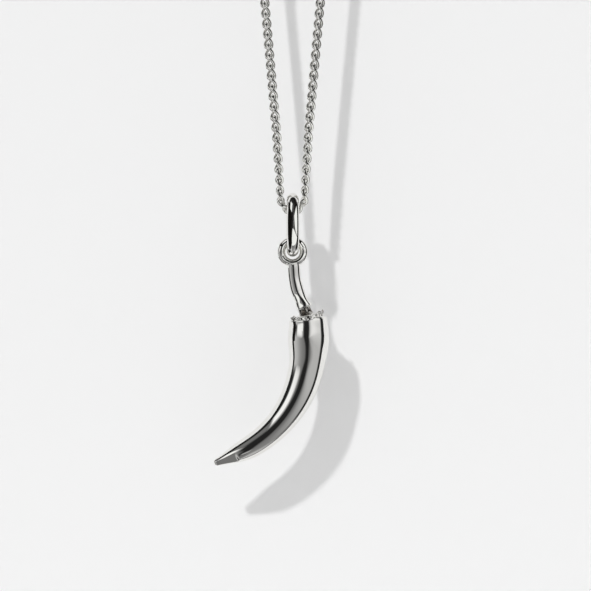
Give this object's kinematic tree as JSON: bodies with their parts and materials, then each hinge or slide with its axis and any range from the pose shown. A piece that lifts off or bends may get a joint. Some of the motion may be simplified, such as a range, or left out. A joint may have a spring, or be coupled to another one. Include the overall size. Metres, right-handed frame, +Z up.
{
  "type": "chili pepper charm necklace",
  "caption": "Polished silver chili pepper charm on a long oval bail, hung from a closed loop of fine curb chain with a barrel clasp at the back of the neck.",
  "frame": {"origin": "underside of the clasp's barrel, at the top middle of the loop, where the necklace hangs on a peg or the nape of a neck", "axes": "+Z up, the charm hangs at -Z; +X to the right of the face that shows; +Y from that face to the back"},
  "size_m": [0.0386, 0.0058, 0.2496],
  "materials": {
    "silver": "polished silver",
    "chain_silver": "polished silver links, darker between them"
  },
  "bodies": {
    "chain_loop": {"chain": "chain_silver", "clasp": "silver"},
    "bail": {"bail": "silver"},
    "charm": {"chili_charm": "silver"}
  },
  "joints": [
    {"name": "bail_swing", "type": "hinge", "parent": "chain_loop", "child": "bail", "pos_m": [0, 0, -0.2115], "axis": [0.9986, 0.0523, 0], "range_deg": [-80, 80]},
    {"name": "charm_swing", "type": "hinge", "parent": "bail", "child": "charm", "pos_m": [0, 0, -0.2169], "axis": [0, 1, 0], "range_deg": [-90, 90]}
  ]
}
